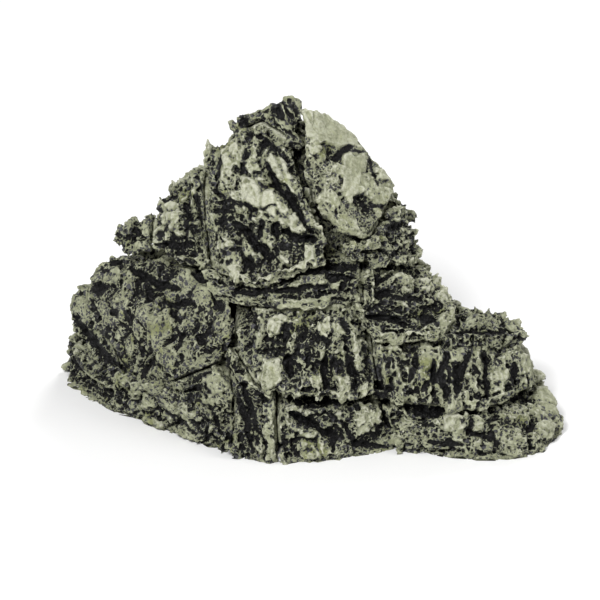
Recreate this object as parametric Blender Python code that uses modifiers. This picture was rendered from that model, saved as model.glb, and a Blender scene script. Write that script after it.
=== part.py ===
"""Cave ornament for a pond or aquarium: cast resin rocks bonded round a hollow cave shell.

Metres, +Z up. The front faces -Y and the cave's mouth opens at the back, towards +Y.
The origin is on the ground, under the middle of the ornament's box.

Every rock is one solid casting. Its corners are set out in whole millimetres on a master block that is
MASTER wide, deep and high, and the three overall sizes stretch that master. The cave shell, its mouth, the
wall and the bond line have sizes of their own. Rocks are bonded in the order of ROCKS: each one is ground
to sit against the shell and against the rocks that are already in place, one bond line away from them.
"""

import bmesh
import bpy
from mathutils import Vector

MM = 0.001

# Overall size of the finished rockwork.
WIDTH = 204 * MM
DEPTH = 100 * MM
HEIGHT = 134 * MM

# The grid that the rocks' corners are set out on, in millimetres.
MASTER = Vector((204, 100, 134))

# Cave shell: a half dome that stands open at the bottom and at the back.
CAVE_WIDTH = 104 * MM
CAVE_HEIGHT = 58 * MM
CAVE_REACH = 33 * MM  # from the dome's middle to the front wall inside
SHELL_WALL = 4 * MM
DOME_MIDDLE = Vector((-4 * MM, 10 * MM, 0))
RIM_BEHIND_MIDDLE = 20 * MM  # the shell's open rim, behind the dome's middle
DOME_SEGMENTS = 32
DOME_RINGS = 16

# Mouth of the cave, between the rear rocks.
MOUTH_WIDTH = 72 * MM
MOUTH_HEIGHT = 46 * MM

# Adhesive between two castings.
BOND_LINE = 0.3 * MM

# Corners nearer than this are one corner once a rock is ground.
SAME_CORNER = 0.01 * MM

RESIN_GREEN = (0.46, 0.48, 0.34, 1)
RESIN_BLACK = (0.035, 0.036, 0.042, 1)
RESIN_ROUGHNESS = 0.75


def clear_scene():
    for obj in list(bpy.data.objects):
        bpy.data.objects.remove(obj)


def new_collection(name):
    collection = bpy.data.collections.new(name)
    bpy.context.scene.collection.children.link(collection)
    return collection


def resin(name, colour):
    """Painted cast resin, matt and without any metal."""
    material = bpy.data.materials.new(name)
    material.use_nodes = True
    shader = material.node_tree.nodes["Principled BSDF"]
    shader.inputs["Base Color"].default_value = colour
    shader.inputs["Roughness"].default_value = RESIN_ROUGHNESS
    shader.inputs["Metallic"].default_value = 0
    return material


def add_object(name, mesh, collection):
    obj = bpy.data.objects.new(name, mesh)
    collection.objects.link(obj)
    return obj


def make_cutter(obj):
    obj.hide_render = True
    obj.display_type = "WIRE"
    return obj


def cut(obj, cutter):
    """Takes the cutter's shape out of the object."""
    boolean = obj.modifiers.new("clear_" + cutter.name, "BOOLEAN")
    boolean.operation = "DIFFERENCE"
    boolean.solver = "EXACT"
    boolean.object = cutter


def stretched(corner):
    """A corner of the master grid at the ornament's own size."""
    x, y, z = corner
    return Vector((x * WIDTH / MASTER.x, y * DEPTH / MASTER.y, z * HEIGHT / MASTER.z))


def hull_mesh(name, corners):
    """The convex block that has these corners."""
    shape = bmesh.new()
    for corner in corners:
        shape.verts.new(stretched(corner))
    bmesh.ops.convex_hull(shape, input=shape.verts)
    inside = [vert for vert in shape.verts if not vert.link_faces]
    bmesh.ops.delete(shape, geom=inside, context="VERTS")
    bmesh.ops.recalc_face_normals(shape, faces=shape.faces)
    mesh = bpy.data.meshes.new(name)
    shape.to_mesh(mesh)
    shape.free()
    return mesh


def grown_mesh(mesh, by):
    """A copy of a convex mesh with each face moved outwards."""
    shape = bmesh.new()
    shape.from_mesh(mesh)
    shape.normal_update()
    moves = [vert.normal * by * vert.calc_shell_factor() for vert in shape.verts]
    for vert, move in zip(shape.verts, moves):
        vert.co += move
    grown = bpy.data.meshes.new(mesh.name + "_grown")
    shape.to_mesh(grown)
    shape.free()
    return grown


def keep_main_body(mesh):
    """Merges the slivers that grinding leaves, and drops the offcuts beside the rock itself."""
    shape = bmesh.new()
    shape.from_mesh(mesh)
    bmesh.ops.remove_doubles(shape, verts=shape.verts, dist=SAME_CORNER)
    bmesh.ops.dissolve_degenerate(shape, edges=shape.edges, dist=SAME_CORNER)
    waiting = set(shape.verts)
    bodies = []
    while waiting:
        body = set()
        front = {waiting.pop()}
        while front:
            body |= front
            front = {edge.other_vert(vert) for vert in front for edge in vert.link_edges} - body
        waiting -= body
        bodies.append(body)

    def size(body):
        faces = {face for vert in body for face in vert.link_faces}
        return sum(face.calc_area() for face in faces)

    main = max(bodies, key=size)
    offcuts = [vert for vert in shape.verts if vert not in main]
    bmesh.ops.delete(shape, geom=offcuts, context="VERTS")
    shape.to_mesh(mesh)
    shape.free()


def grind(rock, cutter):
    """Cuts a rock to fit and keeps its main body as plain mesh data."""
    cut(rock, cutter)
    graph = bpy.context.evaluated_depsgraph_get()
    ground = bpy.data.meshes.new_from_object(rock.evaluated_get(graph))
    rock.modifiers.clear()
    keep_main_body(ground)
    rock.data = ground


# The cave shell and the space that it and its mouth keep clear.


def dome_mesh(name, grow):
    """The whole oval that the cave is the upper front part of, with its surface grow outside the cave."""
    shape = bmesh.new()
    bmesh.ops.create_uvsphere(shape, u_segments=DOME_SEGMENTS, v_segments=DOME_RINGS, radius=1)
    radii = Vector((CAVE_WIDTH / 2 + grow, CAVE_REACH + grow, CAVE_HEIGHT + grow))
    bmesh.ops.scale(shape, vec=radii, verts=shape.verts)
    bmesh.ops.translate(shape, vec=DOME_MIDDLE, verts=shape.verts)
    mesh = bpy.data.meshes.new(name)
    shape.to_mesh(mesh)
    shape.free()
    return mesh


def side_cutter(name, face_middle, outwards, collection):
    """A cube that takes away all of the oval on the outward side of a plane."""
    size = 2 * (CAVE_WIDTH + CAVE_REACH + CAVE_HEIGHT)
    shape = bmesh.new()
    bmesh.ops.create_cube(shape, size=size)
    bmesh.ops.translate(shape, vec=face_middle + outwards * size / 2, verts=shape.verts)
    mesh = bpy.data.meshes.new(name)
    shape.to_mesh(mesh)
    shape.free()
    return make_cutter(add_object(name, mesh, collection))


def rim_cutter(name, behind, collection):
    """Everything further back than a plane that lies behind the shell's rim."""
    rim = DOME_MIDDLE + Vector((0, RIM_BEHIND_MIDDLE + behind, 0))
    return side_cutter(name, rim, Vector((0, 1, 0)), collection)


def cave_shell(parts, cutters):
    """The arched shell that the rocks are bonded to. It is open at the ground and at the back."""
    shell = add_object("cave_shell", dome_mesh("cave_shell", SHELL_WALL), parts)
    wall = shell.modifiers.new("wall", "SOLIDIFY")
    wall.thickness = SHELL_WALL
    wall.offset = -1
    wall.use_even_offset = True
    cut(shell, side_cutter("ground", DOME_MIDDLE, Vector((0, 0, -1)), cutters))
    cut(shell, rim_cutter("behind_shell", 0, cutters))
    shell.data.materials.append(resin("cave_black", RESIN_BLACK))
    return shell


def shell_cutter(cutters):
    """The shell's whole volume with its bond line, which no rock may enter."""
    space = add_object("shell_space", dome_mesh("shell_space", SHELL_WALL + BOND_LINE), cutters)
    grind(space, rim_cutter("behind_shell_space", BOND_LINE, cutters))
    return make_cutter(space)


def mouth_cutter(collection):
    """The worn arch of the cave's mouth, as a prism from inside the shell to behind the rocks."""
    arch = [(-1.06, -0.2), (-1.03, 0.3), (-0.9, 0.62), (-0.62, 0.88), (-0.2, 1), (0.22, 0.95),
            (0.6, 0.8), (0.88, 0.5), (1, 0.18), (1.02, -0.2)]
    outline = bpy.data.curves.new("mouth_outline", "CURVE")
    outline.dimensions = "2D"
    outline.fill_mode = "BOTH"
    outline.extrude = DEPTH / 2
    spline = outline.splines.new("POLY")
    spline.points.add(len(arch) - 1)
    for point, (across, up) in zip(spline.points, arch):
        point.co = (across * MOUTH_WIDTH / 2, up * MOUTH_HEIGHT, 0, 1)
    spline.use_cyclic_u = True
    curve = add_object("mouth_outline", outline, collection)
    curve.rotation_euler.x = 1.5707963
    curve.location = (DOME_MIDDLE.x, DOME_MIDDLE.y + DEPTH / 2, 0)
    bpy.context.view_layer.update()
    graph = bpy.context.evaluated_depsgraph_get()
    mesh = bpy.data.meshes.new_from_object(curve.evaluated_get(graph))
    shape = bmesh.new()
    shape.from_mesh(mesh)
    bmesh.ops.remove_doubles(shape, verts=shape.verts, dist=1e-6)
    bmesh.ops.recalc_face_normals(shape, faces=shape.faces)
    shape.to_mesh(mesh)
    shape.free()
    prism = add_object("mouth_space", mesh, collection)
    prism.matrix_world = curve.matrix_world
    bpy.data.objects.remove(curve)
    return make_cutter(prism)


# The rocks. Corners run x (left to right), y (front to back), z (up), on the master grid.


def peak_crag():
    """The plated block under the summit, leaning back. Its lower edge overhangs the strata."""
    return [(-39, -12, 67), (-27, -27, 67), (-19, -29, 67), (-4, -29, 73), (8, -28, 77), (6, -24, 86),
            (-42, -5, 94), (-3, -14, 99), (-43, 10, 113), (-22, 6, 124), (-7, -2, 116),
            (-40, 24, 66), (-10, 28, 70), (-38, 20, 108), (-12, 24, 118), (6, 10, 78)]


def summit_slab():
    """The broad smooth slab that faces up to the right."""
    return [(-4, 4, 132), (4, 12, 128), (16, 15, 118), (30, 12, 101), (35, 8, 95), (23, -20, 84),
            (12, -23, 89), (-4, -4, 114), (1, -16, 99), (0, 34, 112), (24, 34, 96), (30, 24, 78), (6, 30, 80)]


def crown():
    """The broken top of the ornament, left of the slab."""
    return [(-7, 12, 134), (-15, 8, 132), (-27, 12, 125), (-34, 13, 114), (-35, 6, 112), (-28, 6, 108),
            (-6, 0, 112), (-2, 12, 131), (-30, 34, 98), (-2, 36, 104), (-26, 29, 114), (-6, 27, 124)]


def right_shoulder():
    """The blocks that carry the dome round to the right."""
    return [(37, 10, 88), (43, 9, 79), (46, 6, 62), (38, -11, 68), (16, -27, 77), (13, -25, 86),
            (24, -20, 86), (34, -6, 89), (36, 28, 78), (44, 26, 60), (18, 30, 68), (8, 8, 70)]


def left_shoulder():
    """The stepped block left of the crag."""
    return [(-58, 12, 93), (-46, 14, 101), (-40, 10, 105), (-64, 12, 86), (-65, 4, 70), (-54, -9, 67),
            (-38, -12, 67), (-39, -3, 95), (-58, -2, 84), (-62, 30, 64), (-40, 34, 68), (-40, 30, 93),
            (-58, 28, 84)]


def left_knob():
    """The small knob on the left skyline, with a chink of daylight under it."""
    return [(-81, 16, 68), (-79, 18, 73), (-70, 16, 77), (-63, 14, 82), (-64, 6, 67), (-76, 11, 65),
            (-76, 31, 66), (-60, 31, 66), (-62, 27, 77)]


def strata_band():
    """The thin beds that run level under the crag's overhang."""
    return [(-40, -16, 70), (-19, -25, 70), (8, -25, 75), (18, -23, 77), (-40, -23, 60), (-18, -33, 59),
            (14, -32, 60), (21, -29, 62), (-38, 10, 58), (21, 10, 58), (-38, 10, 70), (19, 10, 78)]


def centre_buttress():
    """The capped block that stands out in the middle of the front."""
    return [(-31, -30, 52), (-19, -35, 59), (12, -33, 60), (19, -37, 51), (27, -43, 27), (16, -46, 25),
            (-4, -47, 26), (-19, -45, 30), (-28, -36, 42), (-4, -46, 42), (-4, -42, 55), (12, -43, 47),
            (-30, -5, 30), (26, -5, 30), (-28, -5, 58), (20, -5, 60)]


def left_outcrop():
    """The big tilted block of the left wing."""
    return [(-84, 28, 57), (-74, 20, 61), (-58, 6, 64), (-33, -16, 67), (-92, 26, 48), (-90, 18, 32),
            (-73, -6, 15), (-30, -29, 52), (-33, -33, 42), (-38, -33, 37), (-56, -23, 24), (-64, -9, 45),
            (-84, 38, 30), (-60, 34, 56), (-35, 5, 60), (-40, 10, 15)]


def left_slab():
    """The split plate on the outer side of the left outcrop."""
    return [(-99, 30, 37), (-92, 29, 45), (-98, 28, 27), (-85, 10, 25), (-74, -7, 14), (-82, 0, 16),
            (-90, 20, 14), (-92, 40, 24), (-88, 38, 40), (-76, 12, 13)]


def left_foot():
    """The low wedge that carries the left wing down to the ground."""
    return [(-101, 23, 0), (-94, 14, 0), (-84, 0, 0), (-72, -8, 0), (-58, -19, 0), (-42, -33, 0),
            (-31, -41, 0), (-101, 30, 19), (-102, 28, 10), (-94, 24, 19), (-74, -8, 13), (-56, -24, 25),
            (-38, -34, 36), (-31, -40, 26), (-100, 44, 0), (-60, 30, 0), (-30, -5, 0), (-98, 42, 16),
            (-60, 20, 20), (-32, -10, 34)]


def front_folds():
    """The steep folds between the left foot and the buttress."""
    return [(-32, -42, 0), (-19, -47, 0), (-13, -50, 0), (-32, -33, 44), (-20, -43, 30), (-14, -45, 26),
            (-36, -33, 36), (-32, -10, 0), (-12, -15, 0), (-30, -10, 42), (-14, -20, 30)]


def front_foot():
    """The foot of the front, under the buttress."""
    return [(-16, -50, 0), (8, -47, 0), (24, -41, 0), (35, -35, 0), (-14, -44, 23), (14, -43, 24),
            (34, -36, 11), (30, -36, 22), (-14, -18, 0), (34, -18, 0), (-14, -18, 26), (32, -18, 24)]


def right_saddle():
    """The worn saddle between the dome and the right ridge."""
    return [(14, -22, 75), (44, 0, 63), (51, 4, 60), (54, 2, 51), (60, 0, 46), (14, -30, 58),
            (26, -35, 46), (52, -27, 43), (36, -20, 59), (60, -14, 43), (52, 28, 40), (56, 24, 34),
            (20, 20, 66), (24, 0, 40)]


def ridge_ledge():
    """The ledge along the top of the right ridge."""
    return [(54, -6, 45), (66, -2, 45), (82, -6, 45), (87, -14, 37), (87, -8, 41), (52, -28, 42),
            (76, -22, 39), (56, 14, 40), (80, 10, 38), (56, 5, 36), (84, 2, 33)]


def right_ridge():
    """The ribbed ridge of the right wing."""
    return [(30, -35, 43), (52, -30, 43), (84, -19, 37), (90, -12, 28), (93, -11, 18), (81, -33, 20),
            (68, -41, 19), (52, -43, 22), (33, -42, 24), (20, -30, 44), (22, -36, 22), (20, 0, 42),
            (80, 6, 34), (84, 6, 14), (22, -10, 20)]


def right_foot():
    """The low rounded foot of the right wing."""
    return [(28, -36, 0), (48, -40, 0), (64, -46, 0), (80, -46, 0), (94, -39, 0), (100, -26, 0),
            (102, -20, 8), (98, -5, 12), (94, -2, 14), (68, -41, 18), (28, -38, 22), (88, -40, 9),
            (28, -5, 0), (92, 10, 0), (100, -4, 0), (90, 8, 9), (30, -5, 17)]


def rear_left_pier():
    """The rock that stands left of the mouth, seen from the front."""
    return [(-98, 42, 0), (-80, 48, 0), (-46, 50, 0), (-34, 44, 0), (-34, 20, 0), (-90, 20, 0),
            (-96, 40, 26), (-44, 48, 34), (-84, 36, 50), (-62, 40, 60), (-40, 42, 54), (-60, 15, 58),
            (-84, 20, 48)]


def rear_right_pier():
    """The rock that stands right of the mouth, seen from the front."""
    return [(98, 2, 0), (84, 24, 0), (60, 38, 0), (42, 47, 0), (28, 44, 0), (28, 10, 0), (90, -12, 0),
            (90, 4, 20), (78, 16, 32), (58, 30, 34), (34, 42, 46), (38, 10, 48), (72, -6, 38)]


def rear_lintel():
    """The rock that spans the mouth."""
    return [(-54, 42, 50), (-44, 48, 36), (-20, 50, 40), (14, 50, 40), (36, 47, 34), (48, 38, 40),
            (50, 24, 48), (-58, 30, 62), (-40, 40, 76), (0, 46, 78), (38, 36, 70), (-44, 10, 62),
            (42, 10, 58)]


def back_crag():
    """The back of the dome, down to the lintel."""
    return [(-48, 36, 68), (42, 36, 66), (-44, 33, 92), (-28, 36, 108), (0, 38, 114), (28, 32, 92),
            (42, 26, 72), (2, 46, 80), (-22, 44, 92), (-40, 15, 70), (36, 15, 70), (-5, 15, 116)]


# In the order of bonding: a rock is ground to fit those before it.
ROCKS = [left_knob, ridge_ledge, peak_crag, summit_slab, crown, right_shoulder, left_shoulder,
         left_slab, left_outcrop, centre_buttress, right_ridge, strata_band, right_saddle, left_foot,
         front_folds, front_foot, right_foot, back_crag, rear_lintel, rear_left_pier, rear_right_pier]


def bond_rocks(parts, cutters, reserved):
    """Makes each rock and takes away what the shell, the mouth and the earlier rocks fill."""
    paint = resin("dry_brushed_green", RESIN_GREEN)
    filled = list(reserved)
    for corners in ROCKS:
        name = corners.__name__
        rock = add_object(name, hull_mesh(name, corners()), parts)
        space = add_object(name + "_space", grown_mesh(rock.data, BOND_LINE), cutters)
        for cutter in filled:
            grind(rock, cutter)
        filled.append(make_cutter(space))
        rock.data.materials.clear()
        rock.data.materials.append(paint)


def main():
    clear_scene()
    parts = new_collection("cave_ornament")
    cutters = new_collection("cutters")
    cave_shell(parts, cutters)
    reserved = [shell_cutter(cutters), mouth_cutter(cutters)]
    bond_rocks(parts, cutters, reserved)


main()
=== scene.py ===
"""The looks of the cave ornament: cast resin rocks, dry-brushed pale green over a black base coat."""

from collections import Counter
from itertools import product

import bmesh
import bpy
import numpy as np
from mathutils import Euler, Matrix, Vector
from mathutils.bvhtree import BVHTree


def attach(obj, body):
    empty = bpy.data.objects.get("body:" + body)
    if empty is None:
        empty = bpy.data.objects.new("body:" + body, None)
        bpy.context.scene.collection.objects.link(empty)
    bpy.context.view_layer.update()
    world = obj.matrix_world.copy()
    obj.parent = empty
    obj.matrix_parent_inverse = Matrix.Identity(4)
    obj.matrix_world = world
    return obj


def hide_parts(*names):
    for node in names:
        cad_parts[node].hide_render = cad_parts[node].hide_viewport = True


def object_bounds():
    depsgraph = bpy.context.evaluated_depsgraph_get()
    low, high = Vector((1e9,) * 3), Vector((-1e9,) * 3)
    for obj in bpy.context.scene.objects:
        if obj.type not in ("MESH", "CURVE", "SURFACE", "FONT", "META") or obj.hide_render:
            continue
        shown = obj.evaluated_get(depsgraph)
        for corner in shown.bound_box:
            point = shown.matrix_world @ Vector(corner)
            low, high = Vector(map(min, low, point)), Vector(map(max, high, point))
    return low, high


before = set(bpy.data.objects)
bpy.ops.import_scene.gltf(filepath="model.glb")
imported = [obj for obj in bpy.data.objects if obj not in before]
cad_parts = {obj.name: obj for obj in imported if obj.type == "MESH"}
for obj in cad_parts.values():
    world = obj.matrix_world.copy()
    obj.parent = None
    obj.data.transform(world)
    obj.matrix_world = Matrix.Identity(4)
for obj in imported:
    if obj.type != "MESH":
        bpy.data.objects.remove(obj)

cad_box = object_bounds()


# ---------------------------------------------------------------- Studio
# A plain pale floor and soft light: a lamp high in front, a weaker one on the right, one behind, and an even
# white sky. The camera looks down at the front from 25 degrees through a long lens.

MM = 0.001
LOOK_DOWN = np.radians(25)
AIM = Vector((-0.004, 0, 0.0495))
CAMERA_AWAY = 1.8
FRAME_WIDTH = 0.24  # what the camera sees across, at the ornament
FLOOR_SIZE = 8
LAMPS = (  # where each stands, its size and its power
    ((-0.35, -1.0, 1.0), 0.4, 21),
    ((0.9, -0.4, 0.7), 0.6, 3.5),
    ((0.5, 1.0, 0.9), 0.6, 11),
)

bpy.ops.object.select_all(action="DESELECT")
bpy.ops.mesh.primitive_plane_add(size=FLOOR_SIZE, location=(0, 0, 0))
floor = bpy.context.object
floor.name = "floor"
paper = bpy.data.materials.new("white_paper")
paper.use_nodes = True
paper.node_tree.nodes["Principled BSDF"].inputs["Base Color"].default_value = (0.9, 0.9, 0.9, 1)
paper.node_tree.nodes["Principled BSDF"].inputs["Roughness"].default_value = 0.9
floor.data.materials.append(paper)

sky = bpy.data.worlds.new("studio")
sky.use_nodes = True
sky.node_tree.nodes["Background"].inputs["Color"].default_value = (1, 1, 1, 1)
sky.node_tree.nodes["Background"].inputs["Strength"].default_value = 0.3
bpy.context.scene.world = sky
bpy.context.scene.view_settings.view_transform = "Standard"

for place, size, power in LAMPS:
    bpy.ops.object.light_add(type="AREA", location=place)
    lamp = bpy.context.object
    lamp.data.size = size
    lamp.data.energy = power
    lamp.rotation_euler = (AIM - lamp.location).to_track_quat("-Z", "Y").to_euler()

away = Vector((0, -np.cos(LOOK_DOWN), np.sin(LOOK_DOWN)))
bpy.ops.object.camera_add(location=AIM + away * CAMERA_AWAY)
camera = bpy.context.object
camera.rotation_euler = away.to_track_quat("Z", "Y").to_euler()
camera.data.lens = camera.data.sensor_width * CAMERA_AWAY / FRAME_WIDTH
bpy.context.scene.camera = camera


# ---------------------------------------------------------------- Cave shell
# The hollow casting that carries the rocks. It shows only inside the cave: an uneven black skin, as it
# came out of the mould, with the base coat and nothing brushed over it.

SHELL_GRAIN = 1.0 * MM


def cast_copy(name, grain):
    """A copy of a casting with its facets merged and remeshed to an even grain."""
    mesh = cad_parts[name].data.copy()
    piece = bpy.data.objects.new(name + "_cast", mesh)
    mesh.name = piece.name
    bpy.context.scene.collection.objects.link(piece)
    bpy.ops.object.select_all(action="DESELECT")
    piece.select_set(True)
    bpy.context.view_layer.objects.active = piece
    weld = piece.modifiers.new("merge", "WELD")
    weld.merge_threshold = 0.00001
    bpy.ops.object.modifier_apply(modifier="merge")
    regrain(piece, grain)
    return piece


def regrain(piece, grain):
    """Remeshes a piece to even facets, which also heals folds and overlaps."""
    even = piece.modifiers.new("grain", "REMESH")
    even.mode = "VOXEL"
    even.voxel_size = grain
    bpy.ops.object.modifier_apply(modifier="grain")


def places(piece):
    found = np.empty(len(piece.data.vertices) * 3, np.float32)
    piece.data.vertices.foreach_get("co", found)
    return found.reshape(-1, 3).astype(float)


def facings(piece):
    found = np.empty(len(piece.data.vertices) * 3, np.float32)
    piece.data.vertices.foreach_get("normal", found)
    return found.reshape(-1, 3).astype(float)


def set_places(piece, points):
    """Moves a piece's points, but none below the ground."""
    points[:, 2] = np.maximum(points[:, 2], 0)
    piece.data.vertices.foreach_set("co", points.astype(np.float32).ravel())
    piece.data.update()


def scramble(cell, seed):
    """Three numbers from 0 to 1 for each whole-number cell, always the same for the same cell."""
    x, y, z = (cell + 4096).astype(np.uint32).T
    key = x * np.uint32(73856093) ^ y * np.uint32(19349663) ^ z * np.uint32(83492791)
    key ^= np.uint32(seed * 40503 + 977)
    found = []
    for _ in range(3):
        key ^= key >> np.uint32(16)
        key *= np.uint32(0x7FEB352D)
        key ^= key >> np.uint32(15)
        key *= np.uint32(0x846CA68B)
        key ^= key >> np.uint32(16)
        found.append(key / 2.0**32)
    return np.stack(found, 1)


def drift(points, size, seed):
    """Smooth wandering, three numbers from -1 to 1 for each point, with hills about size across."""
    grid = points / size
    cell = np.floor(grid).astype(int)
    part = grid - cell
    part = part * part * (3 - 2 * part)
    total = np.zeros_like(grid)
    for corner in product((0, 1), repeat=3):
        weight = np.prod(np.where(corner, part, 1 - part), 1)
        total += weight[:, None] * scramble(cell + corner, seed)
    return total * 2 - 1


def grains(points, size, seed):
    """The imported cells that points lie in. Returns how far the cell's edge is, the way from the cell's
    heart, and the cell's own three numbers. Sizes along the three axes may differ."""
    grid = points / size
    base = np.floor(grid).astype(int)
    first = np.full(len(grid), 9.0)
    second = first.copy()
    way = np.zeros_like(grid)
    number = np.zeros_like(grid)
    for step in product((-1, 0, 1), repeat=3):
        random = scramble(base + step, seed)
        apart = grid - (base + step) - 0.1 - 0.8 * random
        far = np.sqrt((apart**2).sum(1))
        nearer = far < first
        second = np.where(nearer, first, np.minimum(second, far))
        first = np.where(nearer, far, first)
        way[nearer] = apart[nearer]
        number[nearer] = random[nearer]
    return second - first, way, number


def rise(value, low, high):
    """0 below low, 1 above high, and a smooth climb between them."""
    part = np.clip((value - low) / (high - low), 0, 1)
    return part * part * (3 - 2 * part)


def socket(node, name, value):
    node.inputs[name].default_value = value


shell = cast_copy("cave_shell", SHELL_GRAIN)
shell_points = places(shell)
dents = 0.5 + 0.3 * drift(shell_points, 14 * MM, 3)[:, :1] + 0.2 * drift(shell_points, 4 * MM, 4)[:, :1]
set_places(shell, shell_points - facings(shell) * dents * MM)
bpy.ops.object.shade_smooth()

black = bpy.data.materials.new("black_base_coat")
black.use_nodes = True
nodes, links = black.node_tree.nodes, black.node_tree.links
skin = nodes["Principled BSDF"]
spot = nodes.new("ShaderNodeTexCoord")
mottle = nodes.new("ShaderNodeTexNoise")
socket(mottle, "Scale", 220)
socket(mottle, "Detail", 6)
links.new(spot.outputs["Object"], mottle.inputs["Vector"])
shades = nodes.new("ShaderNodeValToRGB")
shades.color_ramp.elements[0].color = (0.010, 0.010, 0.012, 1)
shades.color_ramp.elements[1].color = (0.060, 0.058, 0.066, 1)
links.new(mottle.outputs["Fac"], shades.inputs["Fac"])
links.new(shades.outputs["Color"], skin.inputs["Base Color"])
bump = nodes.new("ShaderNodeBump")
socket(bump, "Strength", 0.5)
socket(bump, "Distance", 0.0004)
links.new(mottle.outputs["Fac"], bump.inputs["Height"])
links.new(bump.outputs["Normal"], skin.inputs["Normal"])
socket(skin, "Roughness", 0.6)
shell.data.materials.clear()
shell.data.materials.append(black)
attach(shell, "root")
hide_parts("cave_shell")


# ---------------------------------------------------------------- Peak crag
# The plated block under the summit. Its plates run down to the right and end in brick-like lumps, with
# deep bare grooves between them. Like every rock it is cast resin, bonded to the shell and its neighbours.

COARSE = 0.55 * MM
FINE = 0.42 * MM
TOWARDS_VIEWER = np.array([0, -np.cos(LOOK_DOWN), np.sin(LOOK_DOWN)])
FRONT = cad_box[0][1]
DRAWN_WIDTH = 204 * MM
BLOCK_LEVELS = ((1, 2.4, 3.4), (0.5, 1.2, 1.8), (0.26, 0.4, 0.6))  # size as a share, step and crack in mm
MOST_WORN = 5 * MM
CHIP_SIZE = 3.6 * MM
LARGE_PIT, SMALL_PIT = 3.3 * MM, 1.75 * MM
BOND_GAP = 0.6 * MM
BRUSHED = 0.34  # the share of a rock's visible skin that the brush reaches, unless the rock says otherwise
CALM = 0.5  # how much of the breaking and pitting a slab is spared


def faces_tree(names):
    """All faces of some castings, to find out how near they are."""
    corners, faces = [], []
    for name in names:
        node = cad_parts[name]
        first = len(corners)
        corners += [vert.co.copy() for vert in node.data.vertices]
        faces += [[first + index for index in face.vertices] for face in node.data.polygons]
    return BVHTree.FromPolygons(corners, faces)


def clearance(points, tree, most):
    """How far each point is from the nearest other casting, up to most."""
    found = np.full(len(points), most)
    for index, point in enumerate(points):
        hit = tree.find_nearest(point, most)
        if hit[0] is not None:
            found[index] = hit[3]
    return found


def sunk(points, tree):
    """How deep points lie below a casting's unbroken surface, in millimetres; less than 0 is outside."""
    found = np.empty(len(points))
    for index, point in enumerate(points):
        place, way, _, far = tree.find_nearest(point)
        found[index] = -far if (Vector(point) - place).dot(way) > 0 else far
    return found / MM


def spread(values, edges, times):
    """Averages values with their neighbours' along the mesh's edges."""
    size = len(values)
    ends = np.concatenate([edges[:, 0], edges[:, 1]])
    others = np.concatenate([edges[:, 1], edges[:, 0]])
    share = 1 / (1 + np.bincount(ends, minlength=size))
    columns = values.reshape(size, -1).T.copy()
    for _ in range(times):
        columns = np.stack([(column + np.bincount(ends, column[others], size)) * share for column in columns])
    return columns.T.reshape(values.shape)


def edge_ends(piece):
    found = np.empty(len(piece.data.edges) * 2, np.int32)
    piece.data.edges.foreach_get("vertices", found)
    return found.reshape(-1, 2)


def bedded(points, tilt, seed):
    """Points turned into a rock's bedding and made to wander a little, so that nothing runs dead straight."""
    turned = points @ np.array(Euler(np.radians(tilt)).to_matrix())
    return turned + drift(points, 11 * MM, seed) * 1.6 * MM + drift(points, 4 * MM, seed + 1) * 0.4 * MM


def elevation(points, seed):
    """Where points stand in the front's elevation, as seen from LOOK_DOWN: millimetres right of the middle
    and up from the foot, on an ornament DRAWN_WIDTH across. It wavers slightly, so that what is cut along a
    line has a broken edge."""
    drawn = DRAWN_WIDTH / (cad_box[1][0] - cad_box[0][0])
    across = points[:, 0] * drawn
    up = (points[:, 2] * np.cos(LOOK_DOWN) + (points[:, 1] - FRONT) * np.sin(LOOK_DOWN)) * drawn
    waver = drift(points, 5 * MM, seed + 2)[:, :2] * 0.9 + drift(points, 1.8 * MM, seed + 3)[:, :2] * 0.5
    return np.stack([across, up], 1) / MM + waver


def along_line(spots, path):
    """How far spots are from a broken line, in millimetres, and how far along it, from 0 to 1."""
    nearest = np.full(len(spots), 1e9)
    along = np.zeros(len(spots))
    corners = [np.array(corner, float) for corner in path]
    runs = [end - start for start, end in zip(corners, corners[1:])]
    whole = sum(np.hypot(*run) for run in runs)
    done = 0
    for start, run in zip(corners, runs):
        length = np.hypot(*run)
        part = np.clip((spots - start) @ run / length**2, 0, 1)
        far = np.hypot(*(spots - start - part[:, None] * run).T)
        closer = far < nearest
        nearest[closer] = far[closer]
        along[closer] = ((done + part * length) / whole)[closer]
        done += length
    return nearest, along


def slab_cover(spots, outline, inset):
    """1 on a slab drawn by its outline, 0 beside it, with a fairly crisp edge."""
    within = np.zeros(len(spots), bool)
    across, up = spots.T
    for (left, low), (right, high) in zip(outline, outline[1:] + outline[:1]):
        crosses = (low > up) != (high > up)
        within ^= crosses & (across < left + (up - low) * (right - left) / (high - low if high != low else 1))
    far = along_line(spots, outline + outline[:1])[0]
    nicks = scramble(np.floor(spots[:, [0, 1, 1]] / 1.7).astype(int), 9)[:, 0] * 1.6
    return rise(np.where(within, far, -far) - nicks, inset - 0.6, inset + 0.3)


def groove_cover(spots, path, width):
    """1 at the bottom of a groove drawn along a broken line, 0 beside it. It narrows towards both ends."""
    far, along = along_line(spots, path)
    half = width / 2 * (0.35 + 0.65 * (1 - (2 * along - 1) ** 4)) + 0.3
    return np.clip(1 - far / half, 0, 1) ** 0.7


def bonded(room, edges):
    """1 well inside a face that is bonded to a neighbour, so that it stays whole, and 0 near the face's rim
    and everywhere else. Goes by the room that each point has to the nearest other casting."""
    touching = (room < BOND_GAP).astype(float)
    return rise(spread(touching, edges, 60), 0.95, 0.995)


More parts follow.
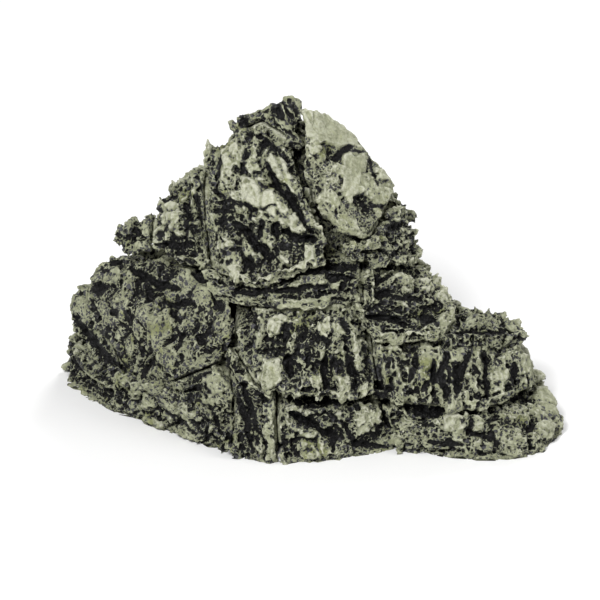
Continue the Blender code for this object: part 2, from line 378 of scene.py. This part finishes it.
def broken(piece, tree, rock, seed):
    """Breaks a plain casting into tilted blocks with stepped faces, opens cracks between them, chips the
    corners, then cuts the front's grooves and raises its slabs."""
    points = places(piece)
    normal = facings(piece)
    room = clearance(points, tree, 4 * MM)
    beds = bedded(points, rock["tilt"], seed)
    facing = rise(normal @ TOWARDS_VIEWER, 0.05, 0.4)
    spots = elevation(points, seed)
    slab = np.zeros(len(points))
    raised = np.zeros(len(points))
    calm = rock.get("calm", CALM)
    for outline, lift in rock["slabs"]:
        cover = slab_cover(spots, outline, 0) * facing
        slab = np.maximum(slab, cover)
        raised = np.maximum(raised, cover * lift)
    height = np.zeros(len(points))
    split = rise(drift(points, 8 * MM, seed + 4)[:, 0], -0.5, 0.5)
    for level, (scale, step, depth) in enumerate(BLOCK_LEVELS):
        gap, way, number = grains(beds, np.array(rock["blocks"]) * scale * MM, seed + 7 * level)
        lean = ((number[:, [1, 2, 0]] - 0.5) * way).sum(1)
        height += ((number[:, 0] - 0.8) + lean * 2.0) * step * (1 - calm * slab)
        crack = (1 - rise(gap, 0.02, 0.10 + 0.16 * split)) * (0.25 + 0.75 * split) * depth
        height -= crack * (1 - calm * slab) * rise(number[:, 2] + split, 0.3, 0.8)
    edges = edge_ends(piece)
    corner = rise(((points - spread(points, edges, 40)) * normal).sum(1) / MM, 0.15, 0.8)
    _, way, number = grains(beds, CHIP_SIZE, seed + 5)
    bites = rise(drift(points, 7 * MM, seed + 6)[:, 0], -0.2, 0.5)
    height -= corner * (number[:, 0] * 2.2 + (way * (number - 0.5)).sum(1) * 2 + bites * 1.8)
    height = height * rock["ledge"] + raised
    height *= 1 - bonded(room, edges)
    move = normal * np.clip(height * MM, -MOST_WORN, room * 0.7)[:, None]
    spots = elevation(points + move, seed)
    cut = np.zeros(len(points))
    for path, width, depth in rock["grooves"]:
        cut = np.maximum(cut, groove_cover(spots, path, width) * depth * 1.25 * facing)
    move -= TOWARDS_VIEWER * (cut * MM)[:, None]
    move[:, 2] *= rise(points[:, 2], 0.2 * MM, 1.5 * MM)
    set_places(piece, points + move)


def pitted(piece, tree, whole, rock, seed):
    """Pits a rock's skin like sponge, apart from its slabs, and brushes paint on what stands proud. The same
    value also carries painted shade: it is lowered in hollows and on faces turned down, and the material
    paints the base coat blacker there.
    """
    points = places(piece)
    normal = facings(piece)
    edges = edge_ends(piece)
    spots = elevation(points, seed)
    facing = rise(normal @ TOWARDS_VIEWER, -0.1, 0.3)
    slab = np.zeros(len(points))
    for outline, _ in rock["slabs"]:
        slab = np.maximum(slab, slab_cover(spots, outline, 0.4) * facing)
    groove = np.zeros(len(points))
    for path, width, _ in rock["grooves"]:
        groove = np.maximum(groove, groove_cover(spots, path, width) * facing)
    patch = drift(points, 10 * MM, 30)[:, 0] + drift(points, 4 * MM, 31)[:, 0] * 0.7
    depth = sunk(points, whole)
    patch += rise(depth, 0.3, 2.2) * 1.2 - 0.15
    rough = rise(patch, rock["smooth"] - 0.2, rock["smooth"] + 0.5) * (1 - rock.get("calm", CALM) * slab)
    wander = points + drift(points, 1.6 * MM, 40) * 0.6 * MM
    large_gap, _, large_number = grains(wander, LARGE_PIT, 50)
    small_gap, _, small_number = grains(wander, SMALL_PIT, 60)
    large = rise(large_gap, 0.03, 0.4) * rise(large_number[:, 0], 0.6, 0.8)
    small = rise(small_gap, 0.03, 0.4) * rise(small_number[:, 0], 0.25, 0.4)
    pits = np.maximum(large * 1.1, small * 0.8) * np.maximum(0.3, rough) * (1 - groove) * (1 - 0.7 * slab)
    grit = drift(points, 0.9 * MM, 70)[:, 0] * 0.12 + drift(points, 2.2 * MM, 71)[:, 0] * 0.1
    loose = 1 - bonded(clearance(points, tree, 1 * MM), edges)
    move = normal * ((grit - pits) * loose * MM)[:, None]
    move[:, 2] *= rise(points[:, 2], 0.1 * MM, 0.8 * MM)
    points = points + move
    set_places(piece, points)
    normal = facings(piece)
    blunt = spread(points, edges, 3)
    spiky = rise(((points - blunt) * normal).sum(1) / MM, 0.22, 0.45)[:, None]
    points = points + (blunt - points) * spiky
    set_places(piece, points)
    normal = facings(piece)
    room = clearance(points, tree, 1 * MM)
    near = ((points - spread(points, edges, 5)) * normal).sum(1) / MM
    wide = ((points - spread(points, edges, 50)) * normal).sum(1) / MM
    tone = drift(points, 14 * MM, 80)[:, 0] * 0.25 + drift(points, 5 * MM, 81)[:, 0] * 0.2
    # Faces turned up take more of the pale brush. Faces turned down are darkened as painted shade, standing
    # for the shadow under overhangs.
    broad = spread(normal, edges, 10)
    topside_brush_and_underside_shade = normal[:, 2] * 0.3 + broad[:, 2] * 0.3 - rise(-broad[:, 2], 0, 0.5) * 0.7
    # Hollows below the unbroken surface: the brush misses them, and through the base-coat ramp they are also
    # painted darker as shade.
    recess = rise(depth, 0.5, 2.5) + rise(depth, 2.0, 4.5) * 0.8
    brush_and_shade = near * 2.4 + np.clip(wide * 0.5, -1.0, 0.15) + tone + slab * 0.12 + topside_brush_and_underside_shade * 0.6
    brush_and_shade -= pits * 0.3 + recess + rise(groove, 0.1, 0.6) * 1.1
    shown = room > 0.9 * MM
    brush_and_shade -= np.quantile(brush_and_shade[shown], 1 - rock.get("brushed", BRUSHED))
    brush_and_shade -= (1 - rise(room, 0.25 * MM, 0.7 * MM)) * 0.8
    for name, values in (("brush_and_shade", brush_and_shade), ("rough", rough)):
        layer = piece.data.attributes.new(name, "FLOAT", "POINT")
        layer.data.foreach_set("value", values.astype(np.float32))
    return (room < 0.7 * MM) | (points[:, 2] < 0.05 * MM)


def thin_out(piece, hidden):
    """Takes most facets away where a casting is pressed against its neighbours or the ground."""
    group = piece.vertex_groups.new(name="hidden")
    group.add([int(index) for index in np.flatnonzero(hidden)], 1, "REPLACE")
    fewer = piece.modifiers.new("fewer", "DECIMATE")
    fewer.vertex_group = group.name
    fewer.vertex_group_factor = 10
    fewer.ratio = 1 - 0.95 * hidden.mean()
    bpy.ops.object.modifier_apply(modifier="fewer")
    piece.vertex_groups.clear()
    flatter = piece.modifiers.new("flatter", "DECIMATE")
    flatter.ratio = 0.9
    bpy.ops.object.modifier_apply(modifier="flatter")
    mend(piece)


def mend(piece):
    """Makes the skin triangles, cuts out the few spots that thinning has pinched together, closes them
    again, and drops whatever is joined to the rest by less than a shared edge."""
    shape = bmesh.new()
    shape.from_mesh(piece.data)
    for _ in range(6):
        bmesh.ops.remove_doubles(shape, verts=shape.verts, dist=0.001 * MM)
        bmesh.ops.triangulate(shape, faces=[face for face in shape.faces if len(face.verts) > 3])
        ends = Counter(frozenset(edge.verts) for edge in shape.edges)
        pinched = {
            vert for edge in shape.edges if len(edge.link_faces) != 2 or ends[frozenset(edge.verts)] > 1
            for vert in edge.verts
        }
        if not pinched:
            break
        bmesh.ops.delete(shape, geom=list(pinched), context="VERTS")
        bmesh.ops.holes_fill(shape, edges=[edge for edge in shape.edges if edge.is_boundary], sides=0)
    rest = set(shape.faces)
    bodies = []
    while rest:
        body = [rest.pop()]
        for face in body:
            for edge in face.edges:
                if len(edge.link_faces) == 2:
                    found = [other for other in edge.link_faces if other in rest]
                    rest.difference_update(found)
                    body += found
        bodies.append(body)
    bodies.sort(key=len)
    crumbs = [face for body in bodies[:-1] for face in body]
    bmesh.ops.delete(shape, geom=crumbs, context="FACES")
    bmesh.ops.recalc_face_normals(shape, faces=shape.faces)
    if shape.calc_volume(signed=True) < 0:
        bmesh.ops.reverse_faces(shape, faces=shape.faces)
    shape.to_mesh(piece.data)
    shape.free()


def keep_largest(piece):
    """Drops crumbs that came off when the mesh was remade."""
    name = piece.name
    bpy.ops.object.select_all(action="DESELECT")
    piece.select_set(True)
    bpy.context.view_layer.objects.active = piece
    bpy.ops.object.mode_set(mode="EDIT")
    bpy.ops.mesh.select_all(action="SELECT")
    bpy.ops.mesh.separate(type="LOOSE")
    bpy.ops.object.mode_set(mode="OBJECT")
    bodies = sorted(bpy.context.selected_objects, key=lambda body: -len(body.data.vertices))
    for crumb in bodies[1:]:
        bpy.data.objects.remove(crumb)
    bodies[0].name = name
    bodies[0].data.name = name
    bpy.context.view_layer.objects.active = bodies[0]
    return bodies[0]


def dry_brushed(name):
    """Black base coat with pale green brushed over whatever stands proud, on a skin full of pinholes. The
    black is painted darker still where the brushed value is low, as painted shade in hollows, grooves and
    under overhangs.
    """
    finish = bpy.data.materials.new(name)
    finish.use_nodes = True
    nodes, links = finish.node_tree.nodes, finish.node_tree.links
    shader = nodes["Principled BSDF"]
    spot = nodes.new("ShaderNodeTexCoord").outputs["Object"]

    def layer(kind):
        node = nodes.new("ShaderNodeAttribute")
        node.attribute_name = kind
        return node.outputs["Fac"]

    def noise(scale, detail, output="Fac"):
        node = nodes.new("ShaderNodeTexNoise")
        socket(node, "Scale", scale)
        socket(node, "Detail", detail)
        socket(node, "Roughness", 0.65)
        links.new(spot, node.inputs["Vector"])
        return node.outputs[output]

    def ramp(source, stops):
        node = nodes.new("ShaderNodeValToRGB")
        while len(node.color_ramp.elements) < len(stops):
            node.color_ramp.elements.new(0.5)
        for element, (position, colour) in zip(node.color_ramp.elements, stops):
            element.position = position
            element.color = (*colour, 1) if isinstance(colour, tuple) else (colour, colour, colour, 1)
        links.new(source, node.inputs["Fac"])
        return node.outputs["Color"]

    def maths(kind, *values):
        node = nodes.new("ShaderNodeMath")
        node.operation = kind
        for place, value in enumerate(values):
            if isinstance(value, (int, float)):
                node.inputs[place].default_value = value
            else:
                links.new(value, node.inputs[place])
        return node.outputs[0]

    def mixed(share, first, second):
        node = nodes.new("ShaderNodeMix")
        node.data_type = "RGBA"
        for place, value in ((0, share), (6, first), (7, second)):
            links.new(value, node.inputs[place])
        return node.outputs[2]

    sway = nodes.new("ShaderNodeVectorMath")
    sway.operation = "MULTIPLY_ADD"
    links.new(noise(700, 2, "Color"), sway.inputs[0])
    sway.inputs[1].default_value = (0.0013, 0.0013, 0.0013)
    links.new(spot, sway.inputs[2])

    def cells(scale, feature, output):
        node = nodes.new("ShaderNodeTexVoronoi")
        node.feature = feature
        socket(node, "Scale", scale)
        links.new(sway.outputs[0], node.inputs["Vector"])
        return node.outputs[output]

    fine_net = ramp(cells(700, "DISTANCE_TO_EDGE", "Distance"), [(0.05, 0.0), (0.14, 0.6), (0.32, 1.0)])
    wide_net = ramp(cells(400, "DISTANCE_TO_EDGE", "Distance"), [(0.03, 0.0), (0.09, 0.6), (0.25, 1.0)])
    net = mixed(ramp(noise(160, 2), [(0.48, 0.0), (0.52, 1.0)]), fine_net, wide_net)
    chosen = ramp(cells(700, "F1", "Color"), [(0.38, 0.45), (0.46, 1.0)])
    holes = maths("MULTIPLY", maths("MULTIPLY", net, chosen), maths("MULTIPLY_ADD", layer("rough"), 0.5, 0.5))
    speck = noise(1900, 4)
    blot = noise(300, 5)
    shift = maths("MULTIPLY_ADD", layer("rough"), 0.6, 0.3)
    shift = maths("MULTIPLY_ADD", holes, -2.1, shift)
    shift = maths("MULTIPLY_ADD", maths("SUBTRACT", speck, 0.5), 2.0, shift)
    shift = maths("MULTIPLY_ADD", maths("SUBTRACT", blot, 0.5), 0.6, shift)
    cover = ramp(maths("ADD", maths("ADD", layer("brush_and_shade"), shift), 0.5), [(0.44, 0.0), (0.60, 1.0)])
    pale = ramp(blot, [(0.32, (0.165, 0.173, 0.10)), (0.5, (0.28, 0.29, 0.19)), (0.68, (0.41, 0.422, 0.295))])
    olive = ramp(blot, [(0.3, (0.10, 0.11, 0.035)), (0.7, (0.22, 0.235, 0.09))])
    green = mixed(ramp(noise(75, 3), [(0.60, 0.0), (0.68, 0.8)]), pale, olive)
    # Palest paint on the crests, where the dry brush builds up most. Because it follows the upward term too,
    # crests turned up are paler still, a painted highlight.
    crest = maths("MULTIPLY_ADD", maths("SUBTRACT", speck, 0.5), 1.0, layer("brush_and_shade"))
    palest = ramp(blot, [(0, (0.44, 0.445, 0.34)), (1, (0.60, 0.60, 0.50))])
    green = mixed(ramp(maths("MULTIPLY", crest, 0.5), [(0.48, 0.0), (0.8, 0.75)]), green, palest)
    # Painted shade: the base coat runs from dark grey down to black as the brushed value falls, so hollows,
    # grooves, bonds and undersides are coloured as if in shadow.
    depth = maths("MULTIPLY_ADD", maths("SUBTRACT", speck, 0.5), 0.8, maths("ADD", layer("brush_and_shade"), 1.0))
    base = [(0.0, (0.005, 0.005, 0.005)), (0.45, (0.016, 0.016, 0.016)), (0.9, (0.055, 0.055, 0.06))]
    base_coat_and_painted_shade = ramp(depth, base)
    links.new(mixed(cover, base_coat_and_painted_shade, green), shader.inputs["Base Color"])
    links.new(ramp(cover, [(0, 0.5), (1, 0.85)]), shader.inputs["Roughness"])
    socket(shader, "Specular IOR Level", 0.3)
    grain = nodes.new("ShaderNodeBump")
    socket(grain, "Strength", 1.0)
    socket(grain, "Distance", 0.0007)
    links.new(maths("MULTIPLY_ADD", holes, -1.0, maths("MULTIPLY", speck, 0.5)), grain.inputs["Height"])
    links.new(grain.outputs["Normal"], shader.inputs["Normal"])
    return finish


green_resin = dry_brushed("dry_brushed_resin")


def make_rock(name, seed, **rock):
    """Copies a casting, breaks, carves, pits and paints it, and lets it stand for its CAD node."""
    tree = faces_tree([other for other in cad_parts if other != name])
    whole = faces_tree([name])
    piece = cast_copy(name, COARSE)
    soften = piece.modifiers.new("soften", "SMOOTH")
    soften.iterations = 4
    bpy.ops.object.modifier_apply(modifier="soften")
    broken(piece, tree, rock, seed)
    regrain(piece, rock.get("fine", FINE))
    piece = keep_largest(piece)
    thin_out(piece, pitted(piece, tree, whole, rock, seed))
    bpy.ops.object.shade_smooth()
    piece.data.materials.clear()
    piece.data.materials.append(green_resin)
    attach(piece, "root")
    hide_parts(name)
    return piece


summit_groove = ([(-6.5, 134), (-4.5, 128), (-2, 121), (-0.5, 116)], 4.2, 1.8)
left_gully = ([(-46, 116), (-43, 104), (-41.5, 94), (-39, 84)], 4.5, 4)
crown_groove = ([(-27, 139), (-24, 132), (-25, 123), (-26, 116)], 3.4, 2)

make_rock(
    "peak_crag", 100, tilt=(0, -28, 0), blocks=(7, 8, 20), ledge=1.3, smooth=0.1, brushed=0.40,
    grooves=[
        summit_groove, left_gully, crown_groove,
        ([(-17, 128), (-10, 122), (-3, 112), (-2, 108)], 1.6, 2.2),
        ([(-16, 119), (-12, 110), (-6, 103), (1, 92)], 2.4, 3),
        ([(-9, 108), (-6, 104)], 4, 2.5),
        ([(-41, 105), (-32, 105), (-20, 102), (-13, 103)], 1.2, 1.6),
        ([(-35, 101), (-30, 104)], 3, 1.2),
        ([(-36, 98), (-33, 96)], 4, 1),
        ([(-29, 96), (-25, 93), (-19, 86), (-16, 82)], 4.2, 4),
        ([(-19, 97), (-20, 91)], 2.6, 3),
        ([(-14, 96), (-13, 90)], 2.6, 3),
        ([(-10, 93), (-4, 90), (3, 89), (10, 88)], 3, 4.5),
        ([(-33, 81), (-32, 80)], 3, 1.5),
        ([(-24, 83), (-23, 76)], 4, 1.6),
        ([(-35, 86), (-34, 84)], 2.6, 1.2),
        ([(-18, 78), (-19, 75)], 2.4, 1.2),
        ([(3, 86), (3, 80)], 2, 3),
    ],
    slabs=[
        ([(-19, 126), (-10.5, 123), (-4, 111), (-7, 107.5), (-16, 117)], 0.9),
        ([(-28, 117), (-17, 115), (-8, 103), (-1.5, 93), (-5.5, 90), (-19, 100), (-28, 106)], 0.8),
        ([(0.5, 103), (5, 104), (7, 93), (1.5, 92.5)], 1.4),
        ([(-11, 100.5), (-5, 101), (-0.5, 93), (-8, 91.5)], 1.4),
        ([(-3, 89), (2, 89), (2.5, 80), (-3, 80.5)], 1.2),
        ([(4.5, 87.5), (10.5, 86), (10, 81), (5, 81.5)], 1.0),
        ([(-14, 83.5), (-8, 84), (-7, 78.5), (-13, 78)], 0.9),
        ([(-38, 89), (-30, 90), (-27, 80), (-30, 74.5), (-36, 77)], 0.5),
        ([(-34, 92.5), (-19, 82.5), (-20, 81), (-35, 90.5)], 1.2),
        ([(-41, 126), (-28, 130), (-27, 120), (-38, 112)], 0.3),
    ],
)


# ---------------------------------------------------------------- Summit slab
# The broad slab that faces up to the right. It is nearly smooth, so the brush has covered it, with two
# bare hollows and a split near its outer edge.

make_rock(
    "summit_slab", 200, tilt=(0, 30, 0), blocks=(18, 18, 14), ledge=0.8, smooth=0.1, brushed=0.56, calm=0.9,
    grooves=[
        summit_groove,
        ([(9, 122), (13, 125), (17, 126.5)], 3, 1.0),
        ([(16, 125), (23, 124.5)], 0.8, 1.0),
        ([(24, 125), (24, 118), (27, 111)], 1.2, 1.8),
    ],
    slabs=[
        ([(-5, 142), (10, 140), (17, 132), (22.5, 125.5), (9, 127.5), (-3, 129)], 0.3),
        ([(13, 124), (23, 124), (20, 110), (17, 102), (11, 108)], 0.2),
        ([(25, 120), (33, 119), (34, 112), (27, 111.5)], 0.7),
        ([(33, 105), (37.5, 104), (37, 97), (33, 98)], 0.7),
    ],
)


# ---------------------------------------------------------------- Crown
# The broken top of the ornament, left of the slab, with a bare hollow at the very top. A small casting,
# bonded to the crag below it and to the slab beside it.

make_rock(
    "crown", 300, tilt=(0, -20, 0), blocks=(6, 7, 12), ledge=1.0, smooth=-0.1, brushed=0.36,
    grooves=[crown_groove, ([(-14, 143), (-11, 138)], 4, 1.2), ([(-18, 136), (-15, 131)], 3, 1.2)],
    slabs=[
        ([(-33, 137), (-27, 137), (-27, 129), (-32, 129)], 0.5),
        ([(-43, 130), (-33, 130), (-33, 124.5), (-42, 125)], 0.5),
        ([(-21, 134), (-19, 134), (-18, 127), (-21, 128)], 0.3),
    ],
)


# ---------------------------------------------------------------- Shoulders and left knob
# The blocks round the dome below the crag: small sharp lumps on the right, a stepped block on the left, and
# a knob on the skyline with a chink of daylight under it.

make_rock(
    "right_shoulder", 400, tilt=(15, 20, 10), blocks=(9, 8, 5), ledge=1.5, smooth=-0.2, brushed=0.28,
    grooves=[
        ([(15, 91), (28, 93), (37, 97)], 4, 4),
        ([(27, 101), (34, 96)], 2.5, 3),
        ([(39, 104), (41, 96), (41, 86)], 1.2, 2),
        ([(8, 96), (14, 92)], 5, 4),
    ],
    slabs=[
        ([(33, 106), (38, 104), (38.5, 96), (34, 97)], 0.8),
        ([(13, 98), (17, 97.5), (17, 95), (13, 95)], 0.6),
    ],
)
make_rock(
    "left_shoulder", 500, tilt=(0, 15, 0), blocks=(8, 8, 12), ledge=1.4, smooth=0.0, brushed=0.36,
    grooves=[
        left_gully,
        ([(-49, 101), (-47, 93)], 5, 1.6),
        ([(-61, 88), (-53, 87), (-46, 89)], 3, 1.6),
        ([(-61, 103), (-60, 102)], 2.6, 1.2),
        ([(-60, 98), (-59, 97)], 2.2, 1),
        ([(-60, 93), (-59, 91)], 3.2, 1.2),
    ],
    slabs=[
        ([(-63, 106), (-52, 106), (-51, 90), (-62, 88)], 0.5),
        ([(-53.5, 85), (-47.5, 84), (-48.5, 81), (-52, 81)], 0.6),
    ],
)
make_rock("left_knob", 600, tilt=(0, 0, 0), blocks=(7, 7, 6), ledge=1.0, smooth=-0.3, grooves=[], slabs=[])


# ---------------------------------------------------------------- Strata band
# The thin beds that run level under the crag's overhang, cast as one strip of resin and bonded in between
# the crag and the buttress.

undercut = ([(-38, 74), (-30, 70), (-22, 69), (-13, 73), (-3, 77), (9, 79), (22, 79), (40, 80)], 3.4, 3)

make_rock(
    "strata_band", 700, tilt=(0, -6, 0), blocks=(15, 10, 3.6), ledge=1.2, smooth=-0.1, brushed=0.3,
    grooves=[
        undercut,
        ([(-24, 69), (-12, 69.5), (-1, 71), (6, 71.5)], 1.3, 2.5),
        ([(-26, 62), (-17, 63), (-12, 65)], 2.2, 1.5),
        ([(0, 59), (7, 61.5), (15, 61.5)], 2.2, 2),
    ],
    slabs=[
        ([(-11.5, 67), (-3.5, 67), (-4, 61.5), (-11, 61.5)], 0.5),
        ([(3, 74.5), (13, 74), (12.5, 68), (3, 68)], 0.5),
        ([(-10, 74), (-3.5, 74), (-4, 70), (-10, 70)], 0.6),
    ],
)


# ---------------------------------------------------------------- Centre buttress
# The capped block that stands out in the middle of the front: a pitted cap, ribs below it, one deep black
# hole, and a smooth belly on the left.

big_cleft = ([(21, 49), (25, 40), (27, 32), (29, 26), (32, 16)], 5, 6)

make_rock(
    "centre_buttress", 800, tilt=(0, 8, 0), blocks=(6, 7, 14), ledge=1.3, smooth=0.0, brushed=0.38,
    grooves=[
        big_cleft,
        ([(-9, 44), (-8, 36)], 5, 5),
        ([(5, 43), (6, 32), (4, 26)], 2.8, 2.6),
        ([(14, 47), (16, 38), (17, 31), (19, 26)], 2.8, 3.5),
        ([(-9, 56), (-10, 50)], 3, 1.5),
        ([(-2, 55), (-3, 50)], 2.6, 1.5),
        ([(5, 51), (6, 49)], 4, 1.6),
        ([(-16, 47), (-8, 47)], 0.9, 1.4),
        ([(12, 58), (14, 55)], 2, 1),
        ([(9, 44), (10, 40)], 3, 1.3),
    ],
    slabs=[
        ([(-21.5, 61.5), (-10, 61), (-11, 52), (-21, 52)], 0.5),
        ([(-1, 58), (14, 57.5), (13, 53), (0, 53.5)], 0.4),
        ([(15.5, 57), (21.5, 56), (22, 38), (17, 37)], 0.8),
        ([(-19.5, 43), (-11, 43), (-11, 32), (-18, 31)], 0.7),
        ([(-5.5, 37), (4, 36.5), (3.5, 30), (-5, 30)], 0.5),
        ([(8, 37.5), (16, 36), (11, 27.5)], 0.9),
        ([(19.5, 33), (23.5, 32.5), (22, 26), (19.5, 26.5)], 0.6),
    ],
)


# ---------------------------------------------------------------- Left wing
# The big tilted outcrop with its split outer plate, and the wedge that carries them down to the ground.

outer_split = ([(-96, 60.5), (-91, 53), (-85, 46.5), (-75, 37.5)], 3, 4)
inner_split = ([(-89.5, 66.5), (-85, 55), (-80, 46.5), (-74, 38.5)], 2.2, 3)
foot_fold = ([(-40, 25), (-34, 13), (-28, 4)], 2.6, 2.6)

make_rock(
    "left_outcrop", 900, tilt=(0, 25, 0), blocks=(12, 12, 18), ledge=0.8, smooth=-0.1, brushed=0.30,
    grooves=[
        outer_split, inner_split,
        ([(-88, 70), (-82, 71)], 5, 1.4),
        ([(-79, 63), (-79, 60)], 3, 1.6),
        ([(-82, 55), (-82, 53)], 2.2, 1.2),
        ([(-68, 50), (-67, 49)], 3, 1.4),
        ([(-72, 79), (-67, 76), (-60, 72), (-52, 70)], 3, 3),
        ([(-46, 76), (-37, 74)], 5, 2.2),
        ([(-38, 70), (-35, 62)], 5, 2.5),
        ([(-56, 62), (-52, 57)], 2, 1.6),
        ([(-50, 54), (-53, 46)], 2, 1.8),
        ([(-44, 52), (-42, 48)], 3.4, 2),
    ],
    slabs=[
        ([(-92.5, 80), (-82, 82), (-74, 77), (-80, 72), (-91, 73)], 0.5),
        ([(-80, 70), (-74, 69), (-75, 64), (-80, 65)], 0.4),
        ([(-66, 62), (-60, 63), (-58, 52), (-64, 50)], 0.3),
    ],
)
make_rock(
    "left_slab", 1000, tilt=(0, 30, 0), blocks=(7, 8, 8), ledge=0.9, smooth=-0.2,
    grooves=[outer_split], slabs=[
        ([(-98, 68), (-90, 70), (-87, 58), (-95, 54)], 0.2),
    ],
)
make_rock(
    "left_foot", 1100, tilt=(0, 20, 0), blocks=(14, 10, 8), ledge=1.3, smooth=-0.1, brushed=0.31,
    grooves=[
        foot_fold, outer_split,
        ([(-75, 37), (-65, 34), (-50, 36), (-40, 37)], 3, 2),
        ([(-95, 42), (-92, 38)], 4, 1.2),
        ([(-42, 32), (-40, 30)], 2.6, 1.3),
        ([(-46, 32), (-45, 31)], 2.2, 1.2),
        ([(-45, 27), (-44, 26)], 2.6, 1.3),
        ([(-58, 22), (-50, 16), (-46, 12)], 1.8, 1.6),
    ],
    slabs=[
        ([(-100, 55), (-93, 56), (-88, 45), (-97, 44)], 0.3),
        ([(-42.5, 38), (-34, 37), (-35, 24), (-41, 24)], 1.0),
        ([(-76, 28), (-64, 27), (-65, 19), (-74, 19)], 0.4),
        ([(-54, 23), (-44, 22), (-42, 11), (-50, 9)], 0.4),
    ],
)


# ---------------------------------------------------------------- Front foot
# The steep folds between the left foot and the buttress, and the foot under the buttress. Both are cast
# resin, stand on the ground and are bonded to what they meet.

make_rock(
    "front_folds", 1200, tilt=(0, -20, 0), blocks=(5, 6, 20), ledge=1.4, smooth=-0.2,
    grooves=[
        ([(-33, 46), (-31, 34), (-26, 20), (-22, 6)], 2.2, 2.4),
        ([(-28, 38), (-24, 24), (-20, 10)], 2.4, 2.8),
        ([(-21, 36), (-18, 27), (-16.5, 18)], 1.6, 2),
        foot_fold,
    ],
    slabs=[
        ([(-32, 50), (-27, 50.5), (-22, 42), (-25, 41)], 0.8),
        ([(-17, 23), (-11, 23), (-11, 1), (-16, 1)], 1.0),
    ],
)
make_rock(
    "front_foot", 1300, tilt=(0, -20, 0), blocks=(9, 8, 9), ledge=1.5, smooth=0.0, brushed=0.42,
    grooves=[
        big_cleft,
        ([(-9, 22), (0, 17), (9, 12), (9, 6)], 3, 3),
        ([(-11, 20), (-9, 3)], 2, 2),
        ([(-20, 28), (0, 25), (16, 27)], 3.5, 3),
        ([(12, 18), (18, 9), (30, 8)], 2.5, 2.5),
    ],
    slabs=[
        ([(17, 24), (28, 23), (29, 12.5), (19, 12)], 1.4),
        ([(-6, 15), (6, 14), (7, 3), (-5, 2)], 0.9),
    ],
)


# ---------------------------------------------------------------- Right wing
# The worn saddle that comes down from the dome, the ledge along the ridge's top, the ribbed ridge under it
# and its low rounded foot.

ledge_shadow = ([(48, 54), (57, 52), (67, 52.5), (78, 53.5), (87, 49)], 2, 2.6)

make_rock(
    "right_saddle", 1400, tilt=(0, 12, 0), blocks=(14, 9, 5), ledge=1.5, smooth=-0.2,
    grooves=[
        ledge_shadow, undercut,
        ([(24, 68), (36, 67), (46, 66)], 2.5, 2.5),
        ([(44, 60), (50, 57)], 3, 3),
        ([(22, 60), (32, 58), (38, 56)], 3, 3),
    ],
    slabs=[
        ([(43.5, 78), (52, 75), (53, 66), (45, 66)], 0.5),
        ([(36, 73), (40, 74), (41, 70), (37, 69)], 0.5),
    ],
)
make_rock(
    "ridge_ledge", 1500, tilt=(0, 0, 0), blocks=(6, 8, 6), ledge=1.2, smooth=-0.1,
    grooves=[ledge_shadow, ([(76, 60), (77, 54)], 1.2, 2), ([(66, 60), (66, 55)], 1, 1.4)],
    slabs=[
        ([(61.5, 63), (74, 62.5), (74, 58), (62, 58)], 0.4),
        ([(76, 61), (86, 60), (87, 50), (77, 50)], 0.5),
    ],
)
make_rock(
    "right_ridge", 1600, tilt=(0, 0, 0), blocks=(6, 8, 18), ledge=1.1, smooth=0.0,
    grooves=[
        big_cleft, ledge_shadow,
        ([(42, 44.5), (42, 40), (39, 34)], 2.4, 2),
        ([(49, 42), (49, 35), (44, 30)], 3, 2),
        ([(52.5, 50), (54.5, 43), (51.5, 37), (55, 26)], 3, 2.2),
        ([(63, 50), (63, 44), (59.5, 38), (57, 28)], 3, 2.2),
        ([(68, 50), (69.5, 40), (70, 27)], 2, 2.8),
        ([(81, 40), (79.5, 28)], 3.4, 2.6),
        ([(65, 40), (67, 36)], 2.2, 1.4),
    ],
    slabs=[
        ([(71, 45), (79, 44), (79, 28), (71.5, 28)], 0.9),
        ([(65, 50), (68, 50), (68, 38), (65, 38)], 0.5),
        ([(60.5, 37), (69, 38), (65, 25)], 0.6),
        ([(37, 41), (43, 40), (42, 30), (38, 29.5)], 0.6),
        ([(80, 49), (92, 47), (90, 35), (81.5, 35)], 0.3),
    ],
)
make_rock(
    "right_foot", 1700, tilt=(0, 0, 0), blocks=(14, 12, 10), ledge=0.9, smooth=0.0, brushed=0.40,
    grooves=[
        big_cleft,
        ([(37, 24), (46, 22), (54, 22)], 5, 3.5),
        ([(47, 10), (60, 9)], 2, 2),
        ([(64, 22), (63, 13)], 2, 1.6),
        ([(67, 6), (68, 5)], 2.4, 2),
        ([(78, 30), (86, 24)], 1.6, 1.2),
    ],
    slabs=[
        ([(51, 23), (62, 22), (61.5, 13), (51.5, 13)], 1.1),
        ([(89.5, 34), (100, 30), (101, 12), (90, 10)], 0.2),
    ],
)


# ---------------------------------------------------------------- Back
# The back of the dome and the three rocks that frame the cave's mouth: plainer, with larger blocks.

for number, name in enumerate(("back_crag", "rear_lintel", "rear_left_pier", "rear_right_pier")):
    make_rock(
        name, 1800 + 100 * number, tilt=(0, 15 - 10 * number, 0), blocks=(12, 10, 8), ledge=1.2,
        smooth=0.0, brushed=0.42, grooves=[], slabs=[], fine=FINE * 1.4,
    )
